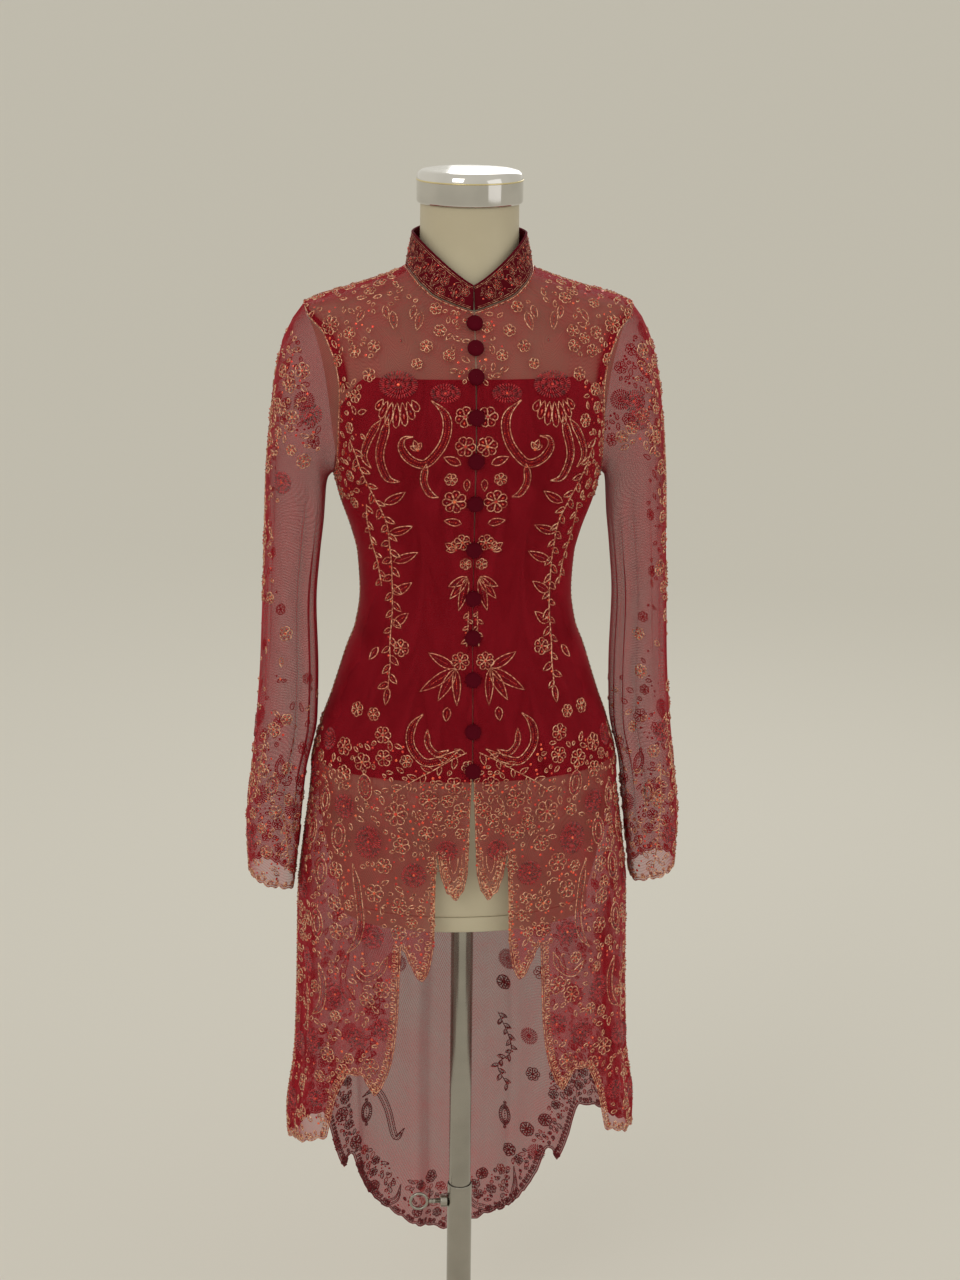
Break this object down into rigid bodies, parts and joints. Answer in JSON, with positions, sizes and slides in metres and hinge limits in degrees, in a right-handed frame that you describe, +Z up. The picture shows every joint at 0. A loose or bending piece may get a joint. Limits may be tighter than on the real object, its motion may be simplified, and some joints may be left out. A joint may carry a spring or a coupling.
{
  "type": "kebaya blouse on a dress form",
  "caption": "Long-sleeved sheer net kebaya with stepped high-low hem, close lining, stand collar and covered buttons, worn by a limbless dress form on a telescopic stand.",
  "frame": {"origin": "centre of the base's underside, on the floor", "axes": "+Z up, the garment's front faces -Y, the wearer's left side is +X"},
  "size_m": [0.48, 0.3306, 1.506],
  "materials": {
    "embroidered_net": "sheer dark red net with metallic cord and bead embroidery",
    "stretch_lining": "opaque matt crimson stretch knit",
    "binding_cloth": "matt dark red bias strip",
    "button_cloth": "matt dark red cloth-covered domes",
    "form_shell": "smooth satin off-white shell",
    "cap_chrome": "polished chrome",
    "pole_steel": "satin chromed steel tube"
  },
  "bodies": {
    "stand": {"stand_base": "cap_chrome", "stand_tube": "pole_steel", "clamp_boss": "pole_steel"},
    "pole": {"pole": "pole_steel"},
    "clamp": {"clamp_screw": "pole_steel", "clamp_ring": "pole_steel"},
    "form": {"form_torso": "form_shell", "form_lid": "form_shell", "neck_cap": "cap_chrome", "lining_front_left": "stretch_lining", "lining_front_right": "stretch_lining", "lining_back": "stretch_lining", "front_left": "embroidered_net", "front_right": "embroidered_net", "back": "embroidered_net", "sleeve_left": "embroidered_net", "sleeve_right": "embroidered_net", "collar": "embroidered_net", "armhole_binding_left": "binding_cloth", "armhole_binding_right": "binding_cloth", "collar_binding": "binding_cloth", "button_01": "button_cloth", "button_02": "button_cloth", "button_03": "button_cloth", "button_04": "button_cloth", "button_05": "button_cloth", "button_06": "button_cloth", "button_07": "button_cloth", "button_08": "button_cloth", "button_09": "button_cloth", "button_10": "button_cloth", "button_11": "button_cloth", "button_12": "button_cloth"}
  },
  "joints": [
    {"name": "height_slide", "type": "slide", "parent": "stand", "child": "pole", "axis": [0, 0, 1], "range_m": [-0.15, 0.11]},
    {"name": "form_swivel", "type": "hinge", "parent": "pole", "child": "form", "pos_m": [0, 0, 0.708], "axis": [0, 0, 1], "continuous": true},
    {"name": "clamp_turn", "type": "hinge", "parent": "stand", "child": "clamp", "pos_m": [-0.02, 0, 0.322], "axis": [-1, 0, 0], "range_deg": [0, 540]}
  ]
}
